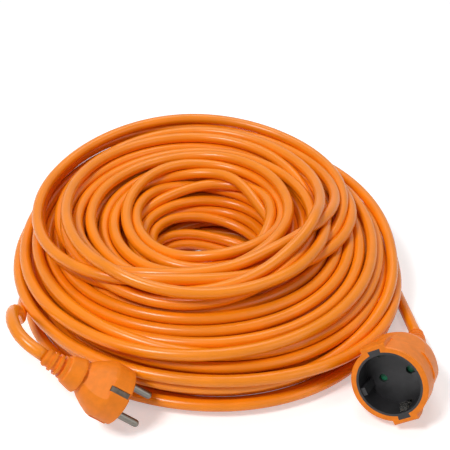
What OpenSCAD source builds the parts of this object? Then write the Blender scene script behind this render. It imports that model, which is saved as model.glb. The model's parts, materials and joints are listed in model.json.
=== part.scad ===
// Extension cord: moulded earthed plug, a loose coil of flexible cord, moulded cord-end socket.
// Millimetres. The origin is the middle of the coil on the floor, +X to the socket's side, +Z up.
// Plug and socket are drawn in frames of their own: +X along the pins, +Y through both pins,
// +Z through both earth contacts. plug_pose() and socket_pose() lay them on the floor.

/* [Cord] */
// Outer diameter of the sheath
cord_d = 8; // [6:0.5:10]
// Radius of one insulated core
core_r = 1.45; // [1:0.05:1.7]
// Distance of each core from the cord's axis
core_off = 1.72; // [1.2:0.01:2]

/* [Coil] */
// Radius of the lowest outer turn's centre line
coil_r = 136; // [110:1:160]
// Radius at which the rounded shoulder meets the flat top
coil_top_r = 94; // [80:1:110]
// Height of the top turns' centre line at the middle
coil_h = 69; // [50:1:90]
// Radius at which the flat top meets the lip of the hole
lip_r = 67; // [55:1:75]
// Rounding of the lip of the hole
lip_round = 10; // [6:1:14]
// Radius of the lowest turn in the hole
hole_r = 37.5; // [30:0.5:50]
// Rise of the heap towards the back, per millimetre of height and of depth
coil_lean = 0.00172; // [0:0.00001:0.002]
// Turns drawn on the outer layer
coil_turns = 17.75; // [14.75:1:18.75]
// Gap that the plug's lead lies in, between the two lowest turns
lead_slot = 9; // [8:0.5:12]
// Distance of the solid core's skin from the turns' centre lines
core_inset = 5.8; // [5:0.1:8]

/* [Plug] */
// Middle of the plug's front face, X
plug_x = -56.5; // [-80:0.5:-40]
// Middle of the plug's front face, Y
plug_y = -146.5; // [-150:0.5:-130]
// Heading, nose-down angle and roll of the plug
plug_turn = [2, 38.5, 42]; // [-90:0.5:90]
// Height of the lower pin's tip above the floor: the stiff lead holds the plug up
plug_lift = 7; // [0:0.5:12]
// Radius of the plug's front disc
plug_r = 18.4; // [17:0.1:19]
// Length of the front disc
plug_disc_len = 12; // [8:1:16]
// Radius of a contact pin
pin_r = 2.4; // [2.4:0.1:2.6]
// Length of a contact pin in front of the face
pin_len = 19; // [18:0.5:20]
// Distance of a pin from the axis
pin_off = 9.5; // [9:0.1:10]
// Height of the thumb flats' rear edge above the axis
thumb_h = 8.2; // [7:0.1:10]
// Radius of the finger guard behind the grip
guard_r = 10.8; // [10:0.2:14]

/* [Socket] */
// Middle of the socket's mouth, X
socket_x = 109.5; // [90:0.5:130]
// Middle of the socket's mouth, Y
socket_y = -142; // [-160:1:-120]
// Heading, nose-up angle (negative) and roll of the socket
socket_turn = [-116.5, -16, 36]; // [-180:0.5:180]
// Radius of the round collar at the mouth
collar_r = 24.5; // [24:0.1:27]
// Half width of the rounded square body
body_half = 22.8; // [22.5:0.1:26]
// Corner radius of the rounded square body
body_round = 13.8; // [8:0.1:18]
// Radius of the recess that takes the plug
recess_r = 19.5; // [19:0.1:20]
// Depth of the recess
recess_depth = 17.5; // [17:0.5:18]
// Thickness of the recess floor
floor_t = 3; // [2:0.5:4]
// Outer radius of the insert
insert_r = 21; // [20.5:0.1:22]
// Radius of a pin entry hole
entry_r = 2.7; // [2.5:0.1:3]
// Turn that opens the shutter, degrees
shutter_turn = 40; // [30:1:45]

/* [Strain reliefs] */
// Radius and angle of the plug relief's bend
plug_bend = [34, 20]; // [10:1:80]
// Radius and angle of the socket relief's bend
socket_bend = [55, 24]; // [10:1:80]
// Wall of a relief at its tail
relief_tail_t = 1; // [0.8:0.1:2]

/* [Hidden] */
$fn = 64;
cord_r = cord_d / 2;
foot = cord_r;
sector = 15;
ring_sides = 6;
lead_sides = 10;

// Plug stations along its axis.
plug_carrier_x = [-10, -2];
plug_bridge_x = -13.8;
strip_t = 0.8;
strip_w = 3.2;
strip_top = 17;
earth_hole_z = -10;
earth_hole_r = 2.5;
earth_sleeve_r = 3.3;
carrier_half = pin_off + 4.5;
carrier_t = 12;
plug_crimp_x = -18;
plug_sheath_x = -32;
plug_seat_x = -31.5;
plug_rear_x = -39.5;
plug_bend_x = -42;
plug_bend_dir = -60;
crimp_len = 6;
crimp_r = 2.2;
rib_w = 1.7;
arc_skin = 0.02;
arc_start = -0.5;

// Socket stations along its axis.
insert_x = -26;
cover_x = -38;
cover_r = 18;
socket_crimp_x = -44;
socket_sheath_x = -56;
socket_rear_x = -60;
socket_bend_x = -62;
socket_bend_dir = 132.6;
socket_low_x = -28;
clip_w = 5;
clip_t = 0.8;
clip_z = 21;
base_x = -27;
tab_w = [5.2, 8.4];
tab_z = collar_r - 1.2;
tab_boss_w = 16.4;
tab_boss_z = collar_r + 1.5;
shutter_x = [-23, -20.8];
shutter_r = 13.6;
boss_r = 2.1;
hinge_gap = 0.06;
tulip_r = [2.45, 3.25];
earth_tail_z = 7;

// The socket lies on its lower rear edge. The plug hangs on its lead, a pin close to the floor.
plug_z = (pin_len - pin_r) * sin(plug_turn[1])
    + pin_off * cos(plug_turn[1]) * sin(plug_turn[2]) + pin_r + plug_lift;
socket_low = (body_half - body_round) * (cos(45 - socket_turn[2]) + sin(45 - socket_turn[2]))
    + body_round;
socket_z = socket_low_x * sin(socket_turn[1]) + (socket_low + 0.1) * cos(socket_turn[1]);
coil_scale = coil_r / 136;
plug_at = [plug_x * coil_scale, plug_y * coil_scale, plug_z];
socket_at = [socket_x * coil_scale, socket_y * coil_scale, socket_z];

// Points that the plug's lead runs over, from its relief's tail to the coil, at a coil_r of 136.
plug_route = [
    [-107.7, -142, 62.2], [-115, -135.8, 65.2], [-120.6, -126.2, 66.2], [-123.8, -115.2, 64.2],
    [-125.4, -104.8, 59.4], [-126.4, -95.4, 51.6], [-127.8, -87.6, 42.6], [-129.6, -80.2, 32.8],
    [-132, -69, 23.5], [-135, -57, 19.5], [-137.2, -43, 18.2], [-137.5, -30, 18],
    [-136, -17, 17.9]
];
// Points that the socket's lead runs over, from its relief's tail to the coil, at that coil_r.
socket_route = [[142, -55, 6.6], [141.2, -42, 5], [138.8, -29, 4.3], [136.6, -17, 4.1]];

orange = [0.95, 0.45, 0.1];
black = [0.13, 0.13, 0.14];
nickel = [0.78, 0.77, 0.74];
copper = [0.8, 0.5, 0.3];
brown = [0.4, 0.22, 0.1];
blue = [0.15, 0.35, 0.75];
green = [0.1, 0.5, 0.35];

// ---------- frames ----------

// A direction or point of a tool frame, turned as rotate([roll, pitch, heading]) turns it.
function turned(v, t) =
    let (a = [v[0], v[1] * cos(t[2]) - v[2] * sin(t[2]), v[1] * sin(t[2]) + v[2] * cos(t[2])])
    let (b = [a[0] * cos(t[1]) + a[2] * sin(t[1]), a[1], a[2] * cos(t[1]) - a[0] * sin(t[1])])
    [b[0] * cos(t[0]) - b[1] * sin(t[0]), b[0] * sin(t[0]) + b[1] * cos(t[0]), b[2]];

module posed(at, t) {
    translate(at) rotate([t[2], t[1], t[0]]) children();
}

module plug_pose() {
    posed(plug_at, plug_turn) children();
}

module socket_pose() {
    posed(socket_at, socket_turn) children();
}

// A solid of revolution about the X axis: profile points are [x, radius].
module turned_x(profile) {
    rotate([90, 0, 90]) rotate([0, 0, -90])
        rotate_extrude() polygon([for (p = profile) [p[1], p[0]]]);
}

// A rod along +X from x0 to x1 at [y, z].
module rod(x0, x1, r, y = 0, z = 0) {
    translate([x0, y, z]) rotate([0, 90, 0]) cylinder(h = x1 - x0, r = r);
}

module pipe(x0, x1, r_out, r_in, y = 0, z = 0) {
    difference() {
        rod(x0, x1, r_out, y, z);
        rod(x0 - 1, x1 + 1, r_in, y, z);
    }
}

module box(x, y, z) {
    translate([x[0], y[0], z[0]]) cube([x[1] - x[0], y[1] - y[0], z[1] - z[0]]);
}

// ---------- cord parts shared by plug and socket ----------

// An arc that leaves the origin along +X and bends towards +Y.
module arc_x(bend_r, from, to, r_out, r_in = 0) {
    translate([0, bend_r, 0]) rotate([0, 0, from - 90])
        rotate_extrude(angle = to - from) translate([bend_r, 0]) difference() {
            circle(r = r_out);
            if (r_in > 0) circle(r = r_in);
        }
}

// Places an arc so that it leaves x backwards, bent towards the direction dir round the axis.
module backwards(x, dir) {
    translate([x, 0, 0]) rotate([dir, 0, 0]) rotate([0, 180, 0]) children();
}

// The bent part of a relief: a bored sleeve with ribs, each lower than the one before.
// Arcs start a little inside the straight part and clear its surfaces by arc_skin.
module relief_bend(bend, r0, r1, count) {
    step = bend[1] / (count + 0.1);
    difference() {
        union() {
            arc_x(bend[0], arc_start, bend[1], cord_r + relief_tail_t);
            for (k = [0:count - 1]) translate([0, bend[0], 0]) rotate([0, 0, (k + 0.45) * step])
                translate([0, -bend[0], 0])
                rod(0, rib_w, r0 + (r1 - r0) * (k + 1) / count);
        }
        arc_x(bend[0], arc_start - 0.5, bend[1] + 2, cord_r + arc_skin);
    }
}

// One insulated core along +X: it splays from [y, z] = a to b over len, then runs straight.
module core_run(x, len, a, b, straight) {
    d = norm(b - a);
    lead_in = 1.6;
    lap = 0.6;
    slope = atan(d / (len - 2 * lead_in));
    translate([x, a[0], a[1]]) rotate([atan2(b[1] - a[1], b[0] - a[0]), 0, 0]) {
        rod(0, lead_in + lap, core_r);
        translate([lead_in, 0, 0]) rotate([0, 0, slope])
            rod(-lap, d / sin(slope) + lap, core_r - arc_skin);
        rod(len - lead_in - lap, len + straight, core_r, d);
    }
}

// Where the three cores leave the sheath.
line_at = [-core_off * cos(30), -core_off / 2];
neutral_at = [core_off * cos(30), -core_off / 2];
earth_at = [0, core_off];

// Tail of a bent relief: position and outward direction in the tool's frame.
function tail_at(x, bend, dir) = [
    x - bend[0] * sin(bend[1]),
    bend[0] * (1 - cos(bend[1])) * cos(dir),
    bend[0] * (1 - cos(bend[1])) * sin(dir)
];
function tail_dir(bend, dir) = [-cos(bend[1]), sin(bend[1]) * cos(dir), sin(bend[1]) * sin(dir)];

// ---------- plug ----------

module plug_line_core_shape() {
    core_run(plug_sheath_x, plug_crimp_x - plug_sheath_x, line_at, [-pin_off, 0], 3);
}

module plug_neutral_core_shape() {
    core_run(plug_sheath_x, plug_crimp_x - plug_sheath_x, neutral_at, [pin_off, 0], 3);
}

module plug_earth_core_shape() {
    rod(plug_sheath_x, plug_crimp_x + 3, core_r, 0, core_off);
}

module plug_pin_shape(y) {
    translate([0, y, 0]) turned_x(concat(
        [[plug_crimp_x + 3, 0], [plug_crimp_x + 3, core_r], [plug_carrier_x[0], core_r]],
        [[plug_carrier_x[0], 2], [-4, 2], [-4, 3.25], [plug_carrier_x[1], 3.25]],
        [[plug_carrier_x[1], pin_r + 0.3], [0, pin_r + 0.3], [0, pin_r]],
        [for (a = [0:10:90]) [pin_len - pin_r + pin_r * sin(a), pin_r * cos(a)]]
    ));
}

module plug_earth_strip_shape() {
    bridge_front = plug_bridge_x + strip_t;
    difference() {
        union() {
            for (s = [-1, 1]) {
                z = s > 0 ? [strip_top - strip_t, strip_top] : [-strip_top, strip_t - strip_top];
                box([plug_bridge_x, -1.2], [-strip_w / 2, strip_w / 2], z);
            }
            box([plug_bridge_x, bridge_front], [-strip_w / 2, strip_w / 2],
                [-strip_top, strip_top]);
            rod(plug_bridge_x, -3, earth_sleeve_r, 0, earth_hole_z);
            rod(plug_crimp_x + 3, plug_bridge_x + 0.1, core_r, 0, core_off);
        }
        rod(plug_bridge_x - 1, 0, earth_hole_r, 0, earth_hole_z);
    }
}

module plug_carrier_shape() {
    box(plug_carrier_x, [-carrier_half, carrier_half], [-carrier_t / 2, carrier_t / 2]);
}

module plug_crimps_shape(r_in) {
    for (p = [[-pin_off, 0], [pin_off, 0], [0, core_off]])
        if (r_in > 0) pipe(plug_crimp_x, plug_crimp_x + crimp_len - (p[0] == 0 ? 2 : 0),
            crimp_r, r_in, p[0], p[1]);
        else rod(plug_crimp_x, plug_crimp_x + crimp_len - (p[0] == 0 ? 2 : 0),
            crimp_r, p[0], p[1]);
}

module plug_body() {
    rim = 1.2;
    color(orange) plug_pose() difference() {
        turned_x(concat(
            [[0, 0]],
            [for (a = [0:18:90]) [rim * cos(a) - rim, plug_r - rim + rim * sin(a)]],
            [[-plug_disc_len, plug_r], [-14, plug_r - 0.5], [-15.8, 17.1], [-20, 14.9]],
            [[-24.4, 12.1], [-27, 9.9], [-28.6, 9.2], [-29.4, guard_r - 0.6], [-30, guard_r]],
            [[-31.2, guard_r], [plug_rear_x + 0.8, 8.7], [plug_rear_x, 8], [plug_rear_x, 0]]
        ));
        // thumb flats, sloping down to the neck
        for (s = [0, 180]) rotate([s, 0, 0]) translate([-28.6, -20, thumb_h])
            rotate([0, -29, 0]) cube([18, 40, 20]);
        // slots over the earth strips and grooves for a socket's guide ribs
        for (s = [0, 180]) rotate([s, 0, 0]) {
            box([-16, 1], [-1.8, 1.8], [strip_top - strip_t, plug_r + 1]);
            rotate([90, 0, 0]) box([-plug_disc_len - 1, 1], [-3, 3], [plug_r - 3, plug_r + 1]);
        }
        // seats of everything that is moulded in
        plug_carrier_shape();
        for (y = [-pin_off, pin_off]) plug_pin_shape(y);
        box([plug_bridge_x, plug_bridge_x + strip_t], [-strip_w / 2, strip_w / 2],
            [-strip_top, strip_top]);
        rod(plug_bridge_x, -3, earth_sleeve_r, 0, earth_hole_z);
        rod(-17, 1, earth_hole_r, 0, earth_hole_z);
        rod(plug_crimp_x + 3, plug_bridge_x + 0.1, core_r, 0, core_off);
        plug_crimps_shape(0);
        plug_line_core_shape();
        plug_neutral_core_shape();
        plug_earth_core_shape();
        rod(plug_sheath_x, plug_seat_x, cord_r);
        rod(plug_rear_x - 1, plug_seat_x, 6);
    }
}

module plug_strain_relief() {
    color(orange) plug_pose() {
        pipe(plug_rear_x, plug_sheath_x, 6, cord_r);
        difference() {
            turned_x([[plug_bend_x, 0], [plug_bend_x, 7.1], [plug_rear_x, 7.4],
                [plug_rear_x, 0]]);
            rod(plug_bend_x - 1, plug_rear_x + 1, cord_r);
        }
        backwards(plug_bend_x, plug_bend_dir)
            relief_bend(plug_bend, 7.1, cord_r + relief_tail_t + 0.5, 3);
    }
}

module plug_carrier() {
    color(black) plug_pose() difference() {
        plug_carrier_shape();
        for (y = [-pin_off, pin_off]) plug_pin_shape(y);
        rod(plug_carrier_x[0] - 1, 0, earth_sleeve_r, 0, earth_hole_z);
    }
}

module plug_line_pin() {
    color(nickel) plug_pose() plug_pin_shape(-pin_off);
}

module plug_neutral_pin() {
    color(nickel) plug_pose() plug_pin_shape(pin_off);
}

module plug_earth_strip() {
    color(nickel) plug_pose() plug_earth_strip_shape();
}

module plug_crimps() {
    color(copper) plug_pose() plug_crimps_shape(core_r);
}

module plug_line_core() {
    color(brown) plug_pose() plug_line_core_shape();
}

module plug_neutral_core() {
    color(blue) plug_pose() plug_neutral_core_shape();
}

module plug_earth_core() {
    color(green) plug_pose() plug_earth_core_shape();
}

module plug_cord_end() {
    color(orange) plug_pose() {
        rod(plug_bend_x, plug_sheath_x, cord_r);
        backwards(plug_bend_x, plug_bend_dir)
            arc_x(plug_bend[0], arc_start, plug_bend[1], cord_r - arc_skin);
    }
}

// ---------- socket ----------

// The rounded square has its corners on the pin line and the earth line.
module rounded_square() {
    c = body_half - body_round;
    rotate([0, 0, 45]) {
        square([2 * body_half, 2 * c], center = true);
        square([2 * c, 2 * body_half], center = true);
        for (x = [-c, c]) for (y = [-c, c]) translate([x, y]) circle(r = body_round);
    }
}

// Bosses over the insert's tabs, lower towards the rear.
module tab_bosses() {
    for (s = [0, 180]) rotate([s, 0, 0]) rotate([90, 0, 0]) translate([0, 0, -tab_boss_w / 2])
        linear_extrude(height = tab_boss_w) polygon([
            [-30, 12], [0, 12], [0, tab_boss_z - 0.8], [-0.8, tab_boss_z], [-9, tab_boss_z],
            [-30, 21.6]
        ]);
}

// Dovetail tabs on the earth line that key the insert into the housing.
module tabs(x) {
    for (s = [0, 180]) rotate([s, 0, 0]) rotate([90, 0, 90]) translate([0, 0, x[0]])
        linear_extrude(height = x[1] - x[0]) polygon([
            [-tab_w[0] / 2, 15], [tab_w[0] / 2, 15],
            [tab_w[1] / 2, tab_z], [-tab_w[1] / 2, tab_z]
        ]);
}

module socket_outside() {
    intersection() {
        union() {
            rod(-14, 0, collar_r);
            rotate([90, 0, 90]) translate([0, 0, socket_rear_x])
                linear_extrude(height = -14 - socket_rear_x) rounded_square();
        }
        turned_x([[0, 0], [0, collar_r - 0.8], [-1, collar_r + 0.9], [-2, 25.5],
            [-16, 25.2], [socket_low_x, socket_low + 0.05], [-36, 21.5], [-44, 17.5],
            [-52, 13.6], [socket_rear_x + 1, 11], [socket_rear_x, 10.2], [socket_rear_x, 0]]);
    }
}

module clip_slots(z, x) {
    half = clip_w / 2 + 0.1;
    for (s = [0, 180]) rotate([s, 0, 0]) box(x, [-half, half], z);
}

module socket_housing() {
    color(orange) socket_pose() difference() {
        union() {
            socket_outside();
            tab_bosses();
        }
        rod(insert_x, 1, insert_r);
        tabs([insert_x, 1]);
        clip_slots([10, clip_z + 0.2], [base_x, insert_x + 1]);
        rod(cover_x, insert_x + 1, cover_r);
        turned_x([[socket_sheath_x, 0], [socket_sheath_x, 5.5], [socket_crimp_x, 13.2],
            [cover_x + 1, 13.2], [cover_x + 1, 0]]);
        rod(socket_rear_x - 1, socket_sheath_x + 0.01, 7);
    }
}

module socket_strain_relief() {
    color(orange) socket_pose() {
        pipe(socket_rear_x, socket_sheath_x, 7, cord_r);
        difference() {
            turned_x([[socket_bend_x, 0], [socket_bend_x, 8], [socket_rear_x, 8.4],
                [socket_rear_x, 0]]);
            rod(socket_bend_x - 1, socket_rear_x + 1, cord_r);
        }
        backwards(socket_bend_x, socket_bend_dir)
            relief_bend(socket_bend, 8, cord_r + relief_tail_t + 0.5, 5);
    }
}

module socket_insert() {
    pocket_x = -recess_depth - floor_t;
    color(black) socket_pose() {
        difference() {
            union() {
                rod(insert_x, 0, insert_r);
                tabs([insert_x, 0]);
            }
            rod(-recess_depth, 1, recess_r);
            rod(insert_x - 1, pocket_x, 16);
            for (y = [-pin_off, pin_off]) rod(insert_x, 0, entry_r, y, 0);
            clip_slots([18.4, clip_z + 0.2], [insert_x - 1, -2.5]);
        }
        // guide ribs, the shutter's pivot and its stop
        for (s = [0, 180]) rotate([s, 0, 0])
            box([-recess_depth - 0.1, -1], [16.5, recess_r + 0.3], [-2.5, 2.5]);
        rod(-25.6, pocket_x + 0.1, boss_r);
        rod(-23.4, pocket_x + 0.1, 1.1, 0, -12.4);
    }
}

module shutter() {
    // the notch lets the stop travel the whole turn
    stop_half = asin(1.1 / 12.4) + 1.5;
    color(green) socket_pose() {
        difference() {
            rod(shutter_x[0], shutter_x[1], shutter_r);
            rod(shutter_x[0] - 1, shutter_x[1] + 1, boss_r + hinge_gap);
            rotate([-shutter_turn, 0, 0]) for (y = [-pin_off, pin_off])
                rod(shutter_x[0] - 1, shutter_x[1] + 1, 3.2, y, 0);
            rotate([-90 - stop_half - shutter_turn, 0, 0]) rotate([90, 0, 90])
                translate([0, 0, shutter_x[0] - 1])
                rotate_extrude(angle = 2 * stop_half + shutter_turn)
                translate([11, 0]) square([4, 5]);
        }
        rod(-24.4, shutter_x[0] + 0.1, 0.7, 3.2 + 0.29 + 0.7, 7.5);
    }
}

module shutter_spring() {
    color(nickel) socket_pose() {
        for (k = [0:2]) pipe(-23.6 - 0.75 * k, -23 - 0.75 * k, 3.6, 2.8);
        rod(-25, -23.1, 0.3, 0, 3.2);
        translate([-23.3, 3.2, 0]) cylinder(h = 8.4, r = 0.29);
        translate([-24.8, -3.2, -15.4]) cylinder(h = 15.4, r = 0.29);
    }
}

module tulip_shape(y, hollow) {
    difference() {
        union() {
            rod(cover_x, -26.5, tulip_r[1], y, 0);
            rod(socket_crimp_x + 3, cover_x + 0.1, core_r, y, 0);
        }
        if (hollow) rod(-37, -26, tulip_r[0], y, 0);
        if (hollow) box([-35, -26], [y - 0.3, y + 0.3], [-4, 4]);
    }
}

module socket_line_contact() {
    color(nickel) socket_pose() tulip_shape(pin_off, true);
}

module socket_neutral_contact() {
    color(nickel) socket_pose() tulip_shape(-pin_off, true);
}

module socket_back_cover() {
    color(black) socket_pose() difference() {
        rod(cover_x, insert_x, cover_r);
        for (y = [-pin_off, pin_off]) {
            tulip_shape(y, false);
            rod(-27, -25, entry_r, y, 0);
        }
        box([base_x, -25], [-clip_w / 2, clip_w / 2], [-20, 20]);
        box([cover_x - 1, -25], [-1.6, 1.6], [earth_tail_z - 0.4, earth_tail_z + 0.4]);
    }
}

// Both spring clips, the bridge behind the shutter and the tail to the earth core.
module socket_earth_bracket() {
    z = clip_z;
    t = clip_t;
    color(nickel) socket_pose() {
        for (s = [0, 180]) rotate([s, 0, 0]) rotate([90, 0, 0])
            translate([0, 0, -clip_w / 2]) linear_extrude(height = clip_w) polygon([
                [base_x, 0], [base_x, z], [-4.4, z], [-3.2, z - 0.9], [-3.2, z - 1.7],
                [-8.3, 16], [-9.5, 16], [-14, 18.6], [-13.5, 19.3], [-9.3, 16.9],
                [-8.7, 16.9], [-4.3, z - 1.2], [-4.8, z - t], [base_x + t, z - t],
                [base_x + t, 0]
            ]);
        box([cover_x, base_x + 0.1], [-1.6, 1.6], [earth_tail_z - 0.4, earth_tail_z + 0.4]);
        rod(socket_crimp_x + 3, cover_x + 0.1, core_r, 0, earth_tail_z);
    }
}

module socket_crimps() {
    color(copper) socket_pose() for (p = [[-pin_off, 0], [pin_off, 0], [0, earth_tail_z]])
        pipe(socket_crimp_x, socket_crimp_x + crimp_len, crimp_r, core_r, p[0], p[1]);
}

module socket_core(from, to) {
    core_run(socket_sheath_x, socket_crimp_x - socket_sheath_x, from, to, 3);
}

module socket_line_core() {
    color(brown) socket_pose() socket_core(neutral_at, [pin_off, 0]);
}

module socket_neutral_core() {
    color(blue) socket_pose() socket_core(line_at, [-pin_off, 0]);
}

module socket_earth_core() {
    color(green) socket_pose() socket_core(earth_at, [0, earth_tail_z]);
}

module socket_cord_end() {
    color(orange) socket_pose() {
        rod(socket_bend_x, socket_sheath_x, cord_r);
        backwards(socket_bend_x, socket_bend_dir)
            arc_x(socket_bend[0], arc_start, socket_bend[1], cord_r - arc_skin);
    }
}

// ---------- coil ----------

// Half section of the heap, from its foot outside, over the top, to its foot in the hole.
profile = concat(
    [for (a = [0:15:90]) [coil_top_r + (coil_r - coil_top_r) * cos(a),
        foot + (coil_h - foot) * sin(a)]],
    [for (a = [0:30:90]) [lip_r - lip_round * sin(a), coil_h - lip_round * (1 - cos(a))]],
    [[hole_r, foot + 2]]
);

// The heap is taller at the back: heights grow with the depth.
function raised(p, th) = [p[0], foot + (p[1] - foot) * (1 + coil_lean * p[0] * sin(th))];
function section_at(th) = [for (p = profile) raised(p, th)];
function way(q) = [for (i = 0, s = 0; i < len(q);
    s = s + (i + 1 < len(q) ? norm(q[min(i + 1, len(q) - 1)] - q[i]) : 0), i = i + 1) s];
function ease(x) = let (c = min(max(x, 0), 1)) c * c * (3 - 2 * c);

// How far the slot for the plug's lead is open at an angle round the coil.
function slot_open(d) = ease((d - 55) / 50) * (1 - ease((d - 190) / 32));

// Point at the way t along the section at the angle th.
function on_section(t, th) =
    let (q = section_at(th), s = way(q))
    let (r = lookup(t, [for (i = [0:len(q) - 1]) [s[i], q[i][0]]]))
    let (z = lookup(t, [for (i = [0:len(q) - 1]) [s[i], q[i][1]]]))
    [r * cos(th), r * sin(th), z];
function pitch_at(d) =
    let (s = way(section_at(d))) (s[len(s) - 1] - lead_slot * slot_open(d)) / coil_turns;
function wound_at(a) =
    let (d = a - 360 * floor(a / 360))
    on_section(a / 360 * pitch_at(d) + (a >= 250 ? lead_slot * slot_open(d) : 0), d);
function slot_at(d) = on_section((d / 360 + 0.5) * pitch_at(d) + lead_slot / 2, d);

// Rings of a tube: centres, and two unit directions across it at each.
function unit(v) = v / norm(v);
function rings(c, s, u, n) = [for (i = [0:len(c) - 1]) for (j = [0:n - 1])
    c[i] + cord_r * (cos(360 * j / n) * s[i] + sin(360 * j / n) * u[i])];
function skin(m, n) = concat(
    [[for (j = [n - 1:-1:0]) j]],
    [for (i = [0:m - 2]) for (j = [0:n - 1]) let (a = i * n + j, b = i * n + (j + 1) % n)
        each [[a, b, b + n], [a, b + n, a + n]]],
    [[for (j = [0:n - 1]) (m - 1) * n + j]]
);

// A free stretch: it runs from a point and direction, over the route, to a point and direction.
// A ring is added half-way between each two points, on the curve through their neighbours.
function midway(p, i) = (9 * (p[i] + p[i + 1]) - p[i - 1] - p[i + 2]) / 16;
function spread(route) = [for (p = route) [p[0] * coil_scale, p[1] * coil_scale, p[2]]];
module lead(route, from, to) {
    p = concat([from[0], from[0] + cord_r * from[1]], route, [to[0] - cord_r * to[1], to[0]]);
    c = [for (i = [0:len(p) - 1])
        each (i > 0 && i < len(p) - 2 ? [p[i], midway(p, i)] : [p[i]])];
    n = len(c);
    t = [for (i = [0:n - 1]) i < 2 ? from[1] : i > n - 3 ? to[1] : unit(c[i + 1] - c[i - 1])];
    s = [for (i = [0:n - 1]) unit(cross(t[i], [0, 0, 1]))];
    u = [for (i = [0:n - 1]) cross(s[i], t[i])];
    polyhedron(rings(c, s, u, lead_sides), skin(n, lead_sides), convexity = 8);
}

// The turns: one tube, begun and ended with a straight of one diameter.
coil_end = 360 * coil_turns;
turn_angles = [for (a = [0:sector:coil_end]) a];
turn_points = concat(
    [wound_at(0) - [0, cord_d, 0]],
    [for (a = turn_angles) wound_at(a)],
    [wound_at(coil_end) + [cord_d, 0, 0]]
);
turn_out = concat([[1, 0, 0]], [for (a = turn_angles) [cos(a), sin(a), 0]], [[0, -1, 0]]);

// Least distance between the surfaces of one turn and of the next, from the ring centres.
function to_line(p, a, b) =
    let (k = min(max((p - a) * (b - a) / ((b - a) * (b - a)), 0), 1)) norm(p - a - k * (b - a));
loop = 360 / sector;
turn_gap = min([for (i = [1:len(turn_points) - loop - 3]) for (k = [loop - 2:loop + 1])
    to_line(turn_points[i], turn_points[i + k], turn_points[i + k + 1])]) - cord_d;
echo(turn_gap = turn_gap);  // coil_winding

module coil_winding() {
    n = len(turn_points);
    up = [for (i = [0:n - 1]) [0, 0, 1]];
    color(orange) polyhedron(rings(turn_points, turn_out, up, ring_sides), skin(n, ring_sides),
        convexity = 12);
}

// The plug's lead ends in the slot, on a stub of the core.
lead_end_deg = 116;
function lead_end_dir() = [sin(lead_end_deg), -cos(lead_end_deg), 0];

module plug_lead() {
    slot_pts = [for (d = [180:-9:lead_end_deg + 8]) slot_at(d)];
    color(orange) lead(concat(spread(plug_route), slot_pts),
        [plug_at + turned(tail_at(plug_bend_x, plug_bend, plug_bend_dir), plug_turn),
            turned(tail_dir(plug_bend, plug_bend_dir), plug_turn)],
        [slot_at(lead_end_deg), lead_end_dir()]);
}

module socket_lead() {
    color(orange) lead(spread(socket_route),
        [socket_at + turned(tail_at(socket_bend_x, socket_bend, socket_bend_dir), socket_turn),
            turned(tail_dir(socket_bend, socket_bend_dir), socket_turn)],
        [turn_points[0], [0, 1, 0]]);
}

// The inner turns, drawn as one body that follows the outer layer at core_inset.
module coil_core() {
    front = 1 - coil_lean * (coil_r + coil_top_r) / 2;
    wall = [for (a = [0:15:75]) [
        coil_top_r + (coil_r - coil_top_r - core_inset) * cos(a),
        a == 0 ? 0 : foot + ((coil_h - foot) * front - core_inset) * sin(a)
    ]];
    end = slot_at(lead_end_deg);
    color(orange) {
        difference() {
            rotate_extrude($fn = 96) polygon(concat(
                wall,
                [[coil_top_r, coil_h + 8], [lip_r + 6, coil_h + 8]],
                [[lip_r - lip_round + core_inset + 4, (coil_h - lip_round) * front - 6]],
                [[hole_r + core_inset, foot], [hole_r + core_inset, 0]]
            ));
            translate([0, 0, coil_h - core_inset])
                rotate([atan(coil_lean * (coil_h - foot)), 0, 0])
                translate([-200, -200, 0]) cube([400, 400, 60]);
        }
        // stub that the plug's lead ends on, with its root in the core
        translate(end) rotate([0, 90, lead_end_deg - 90]) cylinder(h = 7, r = cord_r);
        translate(end + 3.5 * lead_end_dir()) rotate([0, -90, lead_end_deg])
            cylinder(h = 12, r = 2.6);
        // stub that the last turn ends on
        translate(turn_points[len(turn_points) - 1]) rotate([0, 90, 0])
            cylinder(h = 16, r = cord_r);
    }
}

plug_body();
plug_strain_relief();
plug_carrier();
plug_line_pin();
plug_neutral_pin();
plug_earth_strip();
plug_crimps();
plug_line_core();
plug_neutral_core();
plug_earth_core();
plug_cord_end();
plug_lead();
coil_winding();
coil_core();
socket_lead();
socket_housing();
socket_strain_relief();
socket_insert();
socket_back_cover();
socket_line_contact();
socket_neutral_contact();
socket_earth_bracket();
shutter();
shutter_spring();
socket_crimps();
socket_line_core();
socket_neutral_core();
socket_earth_core();
socket_cord_end();
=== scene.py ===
"""Looks of the extension cord, over its CAD frame. Metres, in the frame's own axes.

The cord is one tube of its real length: the plug's lead, every turn of the coil and the
socket's lead. Plug and socket are the CAD nodes with real finishes.
"""
import json
import math
import bpy
import numpy as np
from mathutils import Matrix, Vector


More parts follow.
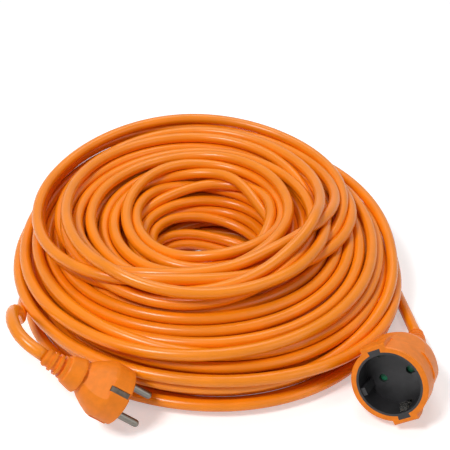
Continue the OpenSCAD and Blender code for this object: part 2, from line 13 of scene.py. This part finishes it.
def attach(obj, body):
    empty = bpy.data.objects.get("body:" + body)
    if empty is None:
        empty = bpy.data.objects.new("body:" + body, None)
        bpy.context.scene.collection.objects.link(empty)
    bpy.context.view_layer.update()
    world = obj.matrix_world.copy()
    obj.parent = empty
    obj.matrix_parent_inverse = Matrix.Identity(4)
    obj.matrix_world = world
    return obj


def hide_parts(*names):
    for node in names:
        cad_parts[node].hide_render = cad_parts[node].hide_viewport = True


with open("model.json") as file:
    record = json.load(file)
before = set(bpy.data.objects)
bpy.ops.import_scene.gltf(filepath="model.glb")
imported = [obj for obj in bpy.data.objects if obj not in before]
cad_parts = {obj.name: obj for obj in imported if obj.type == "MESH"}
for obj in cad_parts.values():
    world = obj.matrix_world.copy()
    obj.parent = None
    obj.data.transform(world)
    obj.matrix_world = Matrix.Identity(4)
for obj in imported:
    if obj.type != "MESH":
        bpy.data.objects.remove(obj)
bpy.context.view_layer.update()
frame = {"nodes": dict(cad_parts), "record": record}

nodes = frame["nodes"]
mounts = {m["name"]: m for m in frame["record"]["mounts"]}

# ---------- sizes ----------

CORD_D = 0.008
CORD_R = CORD_D / 2

# Half section of the heap: a quarter ellipse outside, a flat top, a rounded lip and the hole.
OUTER_R, SHOULDER_R, TOP_Z = 0.136, 0.099, 0.067
LIP_R, LIP_ROUND, HOLE_R, HOLE_Z = 0.067, 0.010, 0.037, 0.004

# Heights grow by this share for each metre towards the back.
LEAN = 1.72

# Turns: full ones, and the part of a turn from where the plug's lead comes in.
FULL_TURNS = 72
START_DEG = 185
STATIONS = 72

# Layers from the outside in, shrunk towards the heart: scale and number of turns. Then the
# turns that lie on the floor.
HEART = (0.087, CORD_R)
LAYERS = [(1.0, 24), (0.84, 17), (0.68, 11), (0.52, 8), (0.36, 3)]
FLOOR_ROW = 9
FLOOR_INSET = 0.009

# In cord diameters: ways up the outline of the first turn and of the socket's last one, height
# of an inner layer over the floor turns, and what it leaves free at its end in the hole.
FIRST_TURN, LAST_TURN = 2.06, 1.06
LAYER_RISE, LAYER_REST = 1.4, 1.1

# The higher a turn lies, the further its middle is off the coil's axis.
TOP_SHIFT = (-0.015, 0.003)
SHIFT_POWER = 2.5

# Hand winding: turns of the outer layer that swap places, by up to so many; a sway along the
# cord, by wave lengths in turns; and each turn's own middle and tilt, less in inner layers.
SEED = 5
SWAP = 2.1
SWAY = 0.002
SWAY_TURNS = (0.34, 0.61, 1.3, 2.7)
STRAY = 0.0035
INNER_STRAY = 0.3

# Stations to either side over which the cord's way from turn to turn is rounded off.
EASE = 24

# Turns of the shoulder that cut in over the front of the ring. Turns are counted in the order
# in which the cord fills its places.
CUT_TURNS = (5.2, 8.6)
CUT_IN, CUT_RISE = 0.030, 0.010
CUT_DEG, CUT_HALF_DEG = -80, 70

# Turns in the hole, drawn together high at its front left.
HOLE_TURNS = (12.5, 21.5)
GATHER_AT = (0.050, 0.052)
GATHER_SHARE = 0.62
GATHER_DEG, GATHER_HALF_DEG = 215, 85

# Lowest turns in the hole, which cross its bottom at the back.
BOTTOM_TURNS = (18.6, 23.4)
BOTTOM_IN = 0.014
BOTTOM_DEG, BOTTOM_HALF_DEG = 80, 75

# Pushing turns apart: rounds in all, and the last ones, without pull to where a turn was meant
# to lie. Each turn takes its share of an overlap; the shifts are evened out over neighbours one
# station and several stations off, by one amount at first and a smaller one in the last rounds.
ROUNDS = 440
CALM_ROUNDS = 140
TOUCH = 1.015 * CORD_D
PUSH_SHARE = 0.45
PULL = 0.05
EVEN_NEXT = (0.4, 0.2)
EVEN_WIDE = (0.1, 0.03)
WIDE_STATIONS = 3

# Joins of coil and free ends: points drawn into line to either side, and how often.
PLUG_JOIN, SOCKET_JOIN = 6, 5
JOIN_ROUNDS = 20

# The cord's free ends, given point by point, from the plug's relief and from the socket's relief.
PLUG_ROUTE = [
    (-0.1077, -0.142, 0.0622), (-0.115, -0.1358, 0.0652), (-0.1206, -0.1262, 0.0662),
    (-0.1238, -0.1152, 0.0642), (-0.1254, -0.1048, 0.0594), (-0.1264, -0.0954, 0.0516),
    (-0.1278, -0.0876, 0.0426), (-0.1296, -0.0802, 0.0328), (-0.132, -0.069, 0.0235),
    (-0.135, -0.057, 0.0195), (-0.1372, -0.043, 0.0182), (-0.1375, -0.030, 0.018),
    (-0.136, -0.017, 0.0179),
]
SOCKET_ROUTE = [
    (0.142, -0.055, 0.0066), (0.1412, -0.042, 0.005), (0.1388, -0.029, 0.0043),
    (0.1366, -0.017, 0.0041),
]

# Bends of the strain reliefs: station on the axis, radius, angle, direction round the axis.
PLUG_BEND = (-0.042, 0.034, 20, -60)
SOCKET_BEND = (-0.062, 0.055, 24, 132.6)

# Places of the mounts on the tools' own axes.
PIN_MOUNT_X = 0.0083
ENTRY_MOUNT_X = -0.018


# ---------- tool frames ----------

def tool_frame(first, second, mid_x):
    """Frame of plug or socket from its two round mounts: +X out of the face, +Y first to second."""
    a, b = (Vector(mounts[m]["pos_m"]) for m in (first, second))
    x = Vector(mounts[first]["axis"]).normalized()
    y = (b - a).normalized()
    turn = Matrix((x, y, x.cross(y))).transposed().to_4x4()
    return Matrix.Translation((a + b) / 2 - mid_x * x) @ turn


PLUG = tool_frame("plug_line_pin", "plug_neutral_pin", PIN_MOUNT_X)
SOCKET = tool_frame("socket_neutral_entry", "socket_line_entry", ENTRY_MOUNT_X)


def relief_tail(tool, bend):
    """Point and direction at which the cord leaves a bent relief."""
    x, radius, angle, around = bend
    c, s = math.cos(math.radians(angle)), math.sin(math.radians(angle))
    u, v = math.cos(math.radians(around)), math.sin(math.radians(around))
    out = radius * (1 - c)
    at = Vector((x - radius * s, out * u, out * v))
    return tool @ at, tool.to_3x3() @ Vector((-c, s * u, s * v))


# ---------- camera ----------

CAM_AT = Vector((0.0084, -0.5535, 0.4155))
CAM_DOWN_DEG = 33
CAM_FOCAL_WIDTHS = 2.0


def make_camera():
    """The photo's view."""
    data = bpy.data.cameras.new("camera")
    data.sensor_width = 36
    data.lens = data.sensor_width * CAM_FOCAL_WIDTHS
    cam = bpy.data.objects.new("camera", data)
    cam.location = CAM_AT
    cam.rotation_euler = (math.radians(90 - CAM_DOWN_DEG), 0, 0)
    bpy.context.scene.collection.objects.link(cam)
    bpy.context.scene.camera = cam


make_camera()


# ---------- the cord's line ----------

def way_of(line):
    """Way along a polyline at each of its points."""
    return np.r_[0, np.cumsum(np.linalg.norm(np.diff(line, axis=0), axis=1))]


def along(line, places):
    """Points of a polyline at the given ways along it."""
    way = way_of(line)
    return np.stack([np.interp(places, way, c) for c in line.T], axis=1)


def outline():
    """Half section of the heap, up the outside, over the top and down into the hole.

    Also gives how many of its points belong to the outside.
    """
    a = np.radians(np.arange(0, 91, 7.5))
    outer = np.c_[
        SHOULDER_R + (OUTER_R - SHOULDER_R) * np.cos(a),
        CORD_R + (TOP_Z - CORD_R) * np.sin(a),
    ]
    b = np.radians(np.arange(0, 91, 15))
    lip = np.c_[LIP_R - LIP_ROUND * np.sin(b), TOP_Z - LIP_ROUND * (1 - np.cos(b))]
    return np.vstack([outer, lip, [[HOLE_R, HOLE_Z]]]), len(a)


def slots(rng):
    """Place of each turn in the section, in the order in which the cord fills them."""
    line, outer_count = outline()
    above_floor = CORD_R + LAYER_RISE * CORD_D
    found = []
    for k, (scale, count) in enumerate(LAYERS):
        inner = HEART + scale * (line - HEART)
        way = way_of(inner)
        if k == 0:
            first, last = FIRST_TURN * CORD_D, way[-1]
        else:
            first = np.interp(above_floor, inner[:outer_count, 1], way[:outer_count])
            last = way[-1] - LAYER_REST * CORD_D
        row = along(inner, np.linspace(first, last, count))
        found.append(row if k % 2 == 0 else row[::-1])
    floor_r = np.linspace(HOLE_R + FLOOR_INSET, OUTER_R - FLOOR_INSET, FLOOR_ROW)
    found.append(np.c_[floor_r, np.full(FLOOR_ROW, CORD_R)])
    found = np.vstack(found)
    number = np.arange(len(found))
    swap = np.where(number < LAYERS[0][1], SWAP, 0) * rng.uniform(-1, 1, len(found))
    last_turns = along(line, [LAST_TURN * CORD_D, 0])
    return np.vstack([found[np.argsort(number + swap)], last_turns])


def wander(count, rng):
    """A slow sway along the cord, a sum of waves whose lengths are in turns."""
    i = np.arange(count) / STATIONS
    size = SWAY / math.sqrt(len(SWAY_TURNS) / 2)
    return sum(size * np.sin(2 * np.pi * (i / w + rng.random())) for w in SWAY_TURNS)


def eased(places, number, values):
    """Values given for each turn, taken along the cord and passing gently from turn to turn."""
    window = np.hanning(2 * EASE + 1)
    along_cord = np.pad(np.interp(places, number, values), EASE, mode="edge")
    return np.convolve(along_cord, window / window.sum(), mode="valid")


def share(places, bounds, gain):
    """1 for the places inside the bounds, falling to 0 at them, the faster the larger the gain."""
    return np.clip(gain * np.minimum(places - bounds[0], bounds[1] - places), 0, 1)


def near(theta, middle_deg, half_deg, power):
    """1 at an angle round the coil, falling off smoothly to both sides."""
    off = (np.degrees(theta) - middle_deg + 180) % 360 - 180
    return np.exp(-np.abs(off / half_deg) ** power)


def meant(rng, count, theta):
    """Radius and height at which each station of the cord is meant to lie."""
    turns = slots(rng)
    number = np.arange(len(turns))
    s = np.linspace(0, number[-1], count)
    home = np.stack([eased(s, number, c) for c in turns.T], axis=1)
    wide = home[:, 0] / OUTER_R
    home += np.stack([wide * wander(count, rng), wide * wander(count, rng)], axis=1)

    high = np.clip(home[:, 1] / TOP_Z, 0, 1)
    free = np.where(number < LAYERS[0][1] + 2, STRAY, INNER_STRAY * STRAY)
    stray = [high * eased(s, number, free * rng.standard_normal(len(number))) for _ in range(4)]
    off_x = TOP_SHIFT[0] * high**SHIFT_POWER + stray[0]
    off_y = TOP_SHIFT[1] * high**SHIFT_POWER + stray[1]
    home[:, 0] += off_x * np.cos(theta) + off_y * np.sin(theta)
    home[:, 1] += stray[2] * np.cos(theta) + stray[3] * np.sin(theta)

    cut = near(theta, CUT_DEG, CUT_HALF_DEG, 2.5) * share(s, CUT_TURNS, 2)
    home += cut[:, None] * (-CUT_IN, CUT_RISE)
    drawn = GATHER_SHARE * near(theta, GATHER_DEG, GATHER_HALF_DEG, 2) * share(s, HOLE_TURNS, 1)
    home += drawn[:, None] * (GATHER_AT - home)
    crossing = near(theta, BOTTOM_DEG, BOTTOM_HALF_DEG, 2) * share(s, BOTTOM_TURNS, 0.5)
    home[:, 0] -= BOTTOM_IN * crossing

    lean = 1 + LEAN * home[:, 0] * np.sin(theta)
    home[:, 1] = np.maximum(CORD_R + (home[:, 1] - CORD_R) * lean, CORD_R)
    return home


def even(d, reach, amount):
    """Moves each value some way to the mean of those a few stations before and after it."""
    d[reach:-reach] += amount * ((d[: -2 * reach] + d[2 * reach :]) / 2 - d[reach:-reach])


def wind():
    """All turns: a point per station, pushed apart in its section until the turns are clear."""
    rng = np.random.default_rng(SEED)
    count = START_DEG * STATIONS // 360 + 1 + FULL_TURNS * STATIONS
    theta = np.radians(START_DEG - np.arange(count) * 360 / STATIONS)
    home = meant(rng, count, theta)

    rows = -(-count // STATIONS)
    spare = rows * STATIONS - count
    away = np.c_[10 + np.arange(spare), np.zeros(spare)]
    x = home.copy()
    for step in range(ROUNDS):
        calm = step >= ROUNDS - CALM_ROUNDS
        grid = np.vstack([x, away]).reshape(rows, STATIONS, 2).transpose(1, 0, 2)
        apart = grid[:, :, None] - grid[:, None, :]
        dist = np.sqrt((apart**2).sum(-1)) + 10 * np.eye(rows)[None] + 1e-9
        lap = np.clip(TOUCH - dist, 0, None)
        push = (apart * (PUSH_SHARE * lap / dist)[..., None]).sum(2)
        x += push.transpose(1, 0, 2).reshape(-1, 2)[:count]
        moved = x - home
        even(moved, 1, EVEN_NEXT[calm])
        even(moved, WIDE_STATIONS, EVEN_WIDE[calm])
        if not calm:
            moved *= 1 - PULL
        x = home + moved
        x[:, 1] = np.maximum(x[:, 1], CORD_R)
    return np.c_[x[:, 0] * np.cos(theta), x[:, 0] * np.sin(theta), x[:, 1]]


def joined(first, second, reach):
    """Two runs of points as one, with the points near the join drawn into line."""
    points = np.vstack([first, second])
    part = points[len(first) - reach : len(first) + reach]
    for _ in range(JOIN_ROUNDS):
        even(part, 1, 0.5)
    return points


def smooth(points, step):
    """Points at an even step on the curve through all the points given."""
    p = np.vstack([2 * points[0] - points[1], points, 2 * points[-1] - points[-2]])
    t = np.linspace(0, 1, 6, endpoint=False)[:, None]
    a, b, c, d = (p[k : len(p) - 3 + k, None] for k in range(4))
    curve = 0.5 * (
        2 * b + (c - a) * t + (2 * a - 5 * b + 4 * c - d) * t**2 + (3 * b - a - 3 * c + d) * t**3
    )
    line = np.vstack([curve.reshape(-1, 3), points[-1:]])
    length = way_of(line)[-1]
    return along(line, np.linspace(0, length, round(length / step) + 1))


def tube(name, line, radius, sides):
    """A closed tube round a line that never runs straight up."""
    ahead = np.gradient(line, axis=0)
    ahead /= np.linalg.norm(ahead, axis=1)[:, None]
    side = np.cross(ahead, (0, 0, 1))
    side /= np.linalg.norm(side, axis=1)[:, None]
    up = np.cross(side, ahead)
    a = np.linspace(0, 2 * np.pi, sides, endpoint=False)
    ring = np.cos(a)[None, :, None] * side[:, None] + np.sin(a)[None, :, None] * up[:, None]
    verts = (line[:, None] + radius * ring).reshape(-1, 3)
    n = len(line)
    i = np.arange(n - 1)[:, None] * sides
    j = np.arange(sides)[None]
    k = (j + 1) % sides
    quads = np.stack([i + j, i + k, i + sides + k, i + sides + j], axis=-1).reshape(-1, 4)
    mesh = bpy.data.meshes.new(name)
    faces = quads.tolist()
    faces.append(list(range(sides))[::-1])
    faces.append(list(range((n - 1) * sides, n * sides)))
    mesh.from_pydata(verts.tolist(), [], faces)
    mesh.polygons.foreach_set("use_smooth", [True] * (len(faces) - 2) + [False] * 2)
    mesh.update()
    obj = bpy.data.objects.new(name, mesh)
    bpy.context.scene.collection.objects.link(obj)
    return obj


# ---------- materials ----------

def linear(r, g, b):
    """A screen colour, 0 to 255, as the shader's linear colour."""
    def one(v):
        v /= 255
        return v / 12.92 if v <= 0.04045 else ((v + 0.055) / 1.055) ** 2.4
    return (one(r), one(g), one(b), 1)


def material(name, colour, rough, metal=0.0, grain=0.0, grain_size=0.001, mottle=0.0,
             mottle_size=0.02, specular=0.5):
    """A procedural finish: a colour that drifts by mottle, and a fine grain of that height."""
    mat = bpy.data.materials.new(name)
    mat.use_nodes = True
    tree = mat.node_tree
    shader = tree.nodes["Principled BSDF"]
    shader.inputs["Roughness"].default_value = rough
    shader.inputs["Metallic"].default_value = metal
    shader.inputs["Specular IOR Level"].default_value = specular
    shader.inputs["Base Color"].default_value = colour
    coords = tree.nodes.new("ShaderNodeTexCoord")
    if mottle:
        noise = tree.nodes.new("ShaderNodeTexNoise")
        noise.inputs["Scale"].default_value = 1 / mottle_size
        noise.inputs["Detail"].default_value = 3
        tree.links.new(coords.outputs["Object"], noise.inputs["Vector"])
        ramp = tree.nodes.new("ShaderNodeValToRGB")
        ramp.color_ramp.elements[0].position = 0.3
        ramp.color_ramp.elements[1].position = 0.7
        ramp.color_ramp.elements[0].color = (*(c * (1 - mottle) for c in colour[:3]), 1)
        ramp.color_ramp.elements[1].color = (*(min(c * (1 + mottle), 1) for c in colour[:3]), 1)
        tree.links.new(noise.outputs["Fac"], ramp.inputs["Fac"])
        tree.links.new(ramp.outputs["Color"], shader.inputs["Base Color"])
    if grain:
        fine = tree.nodes.new("ShaderNodeTexNoise")
        fine.inputs["Scale"].default_value = 1 / grain_size
        fine.inputs["Detail"].default_value = 4
        tree.links.new(coords.outputs["Object"], fine.inputs["Vector"])
        bump = tree.nodes.new("ShaderNodeBump")
        bump.inputs["Distance"].default_value = grain
        bump.inputs["Strength"].default_value = 0.5
        tree.links.new(fine.outputs["Fac"], bump.inputs["Height"])
        tree.links.new(bump.outputs["Normal"], shader.inputs["Normal"])
    return mat


SHEATH = material("sheath", linear(247, 139, 13), 0.27, grain=0.00012, grain_size=0.006,
                  mottle=0.05, specular=0.38)
PVC = material("moulded_pvc", linear(242, 130, 24), 0.45, grain=0.00006, grain_size=0.0008,
               mottle=0.07, mottle_size=0.004, specular=0.27)
BLACK = material("black_plastic", linear(36, 35, 37), 0.42, grain=0.00005, grain_size=0.0008,
                 mottle=0.35, mottle_size=0.005)
GREEN = material("green_plastic", linear(28, 128, 88), 0.35, grain=0.00002, grain_size=0.002)
NICKEL = material("nickel_plate", linear(122, 118, 111), 0.34, metal=1.0, grain=0.00001,
                  grain_size=0.0008)
# Painted shade: a darker copy of the pins' nickel for the plug's flat earth strip, standing for the
# dark reflection on its face; mottled with brighter spots.
PAINTED_SHADE_NICKEL = material("painted_shade_nickel", linear(84, 76, 68), 0.42, metal=1.0, mottle=0.4,
                     mottle_size=0.003)
# Painted highlight: a brighter copy of the nickel for the socket's earth clips, which lie in shade,
# standing for their glints.
PAINTED_GLINT_NICKEL = material("painted_glint_nickel", linear(232, 228, 220), 0.22, metal=1.0)
SPRING = material("spring_steel", linear(190, 190, 192), 0.3, metal=1.0)
BRASS = material("bare_brass", linear(212, 170, 96), 0.32, metal=1.0)
BROWN = material("brown_insulation", linear(92, 50, 24), 0.4)
BLUE = material("blue_insulation", linear(40, 96, 190), 0.4)
EARTH = material("earth_insulation", linear(96, 168, 52), 0.4)

FINISHES = {
    "cord_sheath": SHEATH, "moulded_pvc": PVC, "black_plastic": BLACK, "green_plastic": GREEN,
    "nickel_plate": NICKEL, "spring_steel": SPRING, "bare_brass": BRASS,
    "brown_insulation": BROWN, "blue_insulation": BLUE, "earth_insulation": EARTH,
}

# Plated pieces that look unlike the pins: the plug's side contact is a darker copy of their nickel,
# painted shade; the clips, which lie in shade, are a brighter copy, painted highlight.
OWN_FINISHES = {"plug_earth_strip": PAINTED_SHADE_NICKEL, "socket_earth_bracket": PAINTED_GLINT_NICKEL}


def paint_nodes():
    """Each CAD node takes its own finish, or that of its slot in the record."""
    for part in frame["record"]["subparts"]:
        obj = nodes[part["node"]]
        obj.data.materials.clear()
        finish = OWN_FINISHES.get(part["node"], FINISHES[part["material_slot"]])
        obj.data.materials.append(finish)


paint_nodes()


# ---------- the cord ----------

TUBE_STEP = 0.005
TUBE_SIDES = 12


def make_cord():
    """The whole cord as one tube, with what it is for the tools."""
    plug_end, plug_ahead = relief_tail(PLUG, PLUG_BEND)
    socket_end, socket_ahead = relief_tail(SOCKET, SOCKET_BEND)
    plug_run = np.vstack([plug_end, plug_end + CORD_R * plug_ahead, PLUG_ROUTE])
    socket_run = np.vstack([SOCKET_ROUTE[::-1], socket_end + CORD_R * socket_ahead, socket_end])
    points = joined(joined(plug_run, wind(), PLUG_JOIN), socket_run, SOCKET_JOIN)
    line = smooth(points, TUBE_STEP)
    cord = tube("cord", line, CORD_R, TUBE_SIDES)
    cord.data.materials.append(SHEATH)
    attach(cord, "cord_set")
    for node in ("plug_lead", "coil_winding", "coil_core", "socket_lead"):
        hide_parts(node)


make_cord()


# ---------- floor and light ----------

FLOOR_SIZE = 1.9
FLOOR_Z = -0.0003
FLOOR_GLOW = 0.4
WORLD_STRENGTH = 0.2

# Name, place, side in metres and watts.
LAMPS = [
    ("key", (-0.7, -0.8, 1.5), 0.4, 18),
    ("fill", (1.2, -0.9, 0.9), 0.9, 3.5),
    ("top", (0.1, 0.6, 1.7), 0.8, 8),
]


def show(tree, surface, seen, out):
    """Camera, mirror and glass rays meet the shader seen, all other rays the plain surface."""
    path = tree.nodes.new("ShaderNodeLightPath")
    last = surface
    for ray in ("Is Camera Ray", "Is Glossy Ray", "Is Transmission Ray"):
        mix = tree.nodes.new("ShaderNodeMixShader")
        tree.links.new(path.outputs[ray], mix.inputs["Fac"])
        tree.links.new(last, mix.inputs[1])
        tree.links.new(seen, mix.inputs[2])
        last = mix.outputs["Shader"]
    tree.links.new(last, out.inputs["Surface"])


def make_world():
    """Soft white all round, seen as plain white."""
    world = bpy.data.worlds.new("studio")
    bpy.context.scene.world = world
    world.use_nodes = True
    tree = world.node_tree
    back = tree.nodes["Background"]
    back.inputs["Color"].default_value = (1, 1, 1, 1)
    back.inputs["Strength"].default_value = WORLD_STRENGTH
    seen = tree.nodes.new("ShaderNodeBackground")
    seen.inputs["Color"].default_value = (1, 1, 1, 1)
    seen.inputs["Strength"].default_value = 1
    show(tree, back.outputs["Background"], seen.outputs["Background"],
         tree.nodes["World Output"])


def make_floor():
    """A pale matt floor that takes the shadow; its glow, which lights nothing, makes it white."""
    bpy.ops.mesh.primitive_plane_add(size=FLOOR_SIZE, location=(0, 0, FLOOR_Z))
    floor = bpy.context.object
    floor.name = "floor"
    mat = material("floor", (0.9, 0.9, 0.9, 1), 0.9, specular=0.0)
    tree = mat.node_tree
    matt = tree.nodes["Principled BSDF"].outputs["BSDF"]
    glow = tree.nodes.new("ShaderNodeEmission")
    glow.inputs["Color"].default_value = (1, 1, 1, 1)
    glow.inputs["Strength"].default_value = FLOOR_GLOW
    both = tree.nodes.new("ShaderNodeAddShader")
    tree.links.new(matt, both.inputs[0])
    tree.links.new(glow.outputs["Emission"], both.inputs[1])
    show(tree, matt, both.outputs["Shader"], tree.nodes["Material Output"])
    floor.data.materials.append(mat)


def area_light(name, at, size, watts):
    """A square lamp that looks at the coil."""
    data = bpy.data.lights.new(name, "AREA")
    data.size = size
    data.energy = watts
    lamp = bpy.data.objects.new(name, data)
    lamp.location = at
    lamp.rotation_euler = (-Vector(at)).to_track_quat("-Z", "Y").to_euler()
    bpy.context.scene.collection.objects.link(lamp)


make_floor()
make_world()
for lamp in LAMPS:
    area_light(*lamp)
bpy.context.scene.view_settings.view_transform = "Standard"
